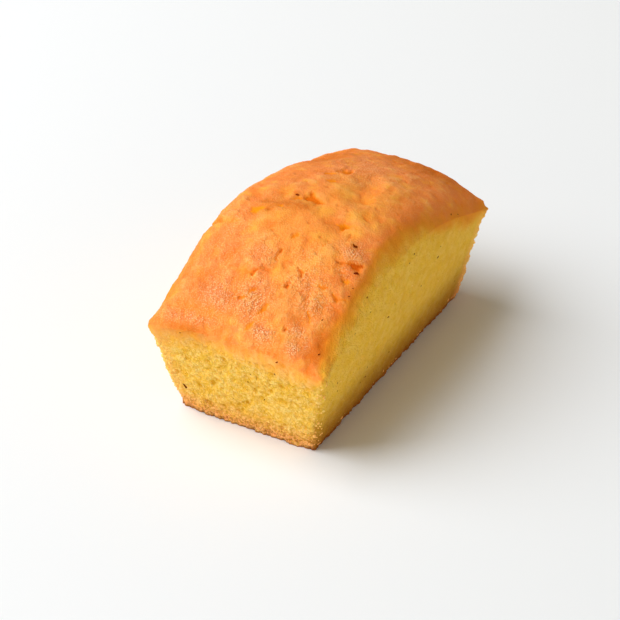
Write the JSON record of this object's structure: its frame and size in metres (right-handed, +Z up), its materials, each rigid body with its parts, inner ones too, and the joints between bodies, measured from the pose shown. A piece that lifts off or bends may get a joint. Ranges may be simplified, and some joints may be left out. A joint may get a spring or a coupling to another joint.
{
  "type": "loaf cake",
  "caption": "Small rectangular loaf cake with tapered crumb sides, a flat base and a domed, browned crust with folds and tears.",
  "frame": {"origin": "on the table, under the middle of the loaf", "axes": "+Z up from the flat base, +X along the loaf towards its higher end, +Y across it"},
  "size_m": [0.1028, 0.0573, 0.0531],
  "materials": {
    "cake": "matte crumb, slightly glossy browned crust"
  },
  "bodies": {
    "root": {"loaf_cake": "cake"}
  },
  "joints": []
}
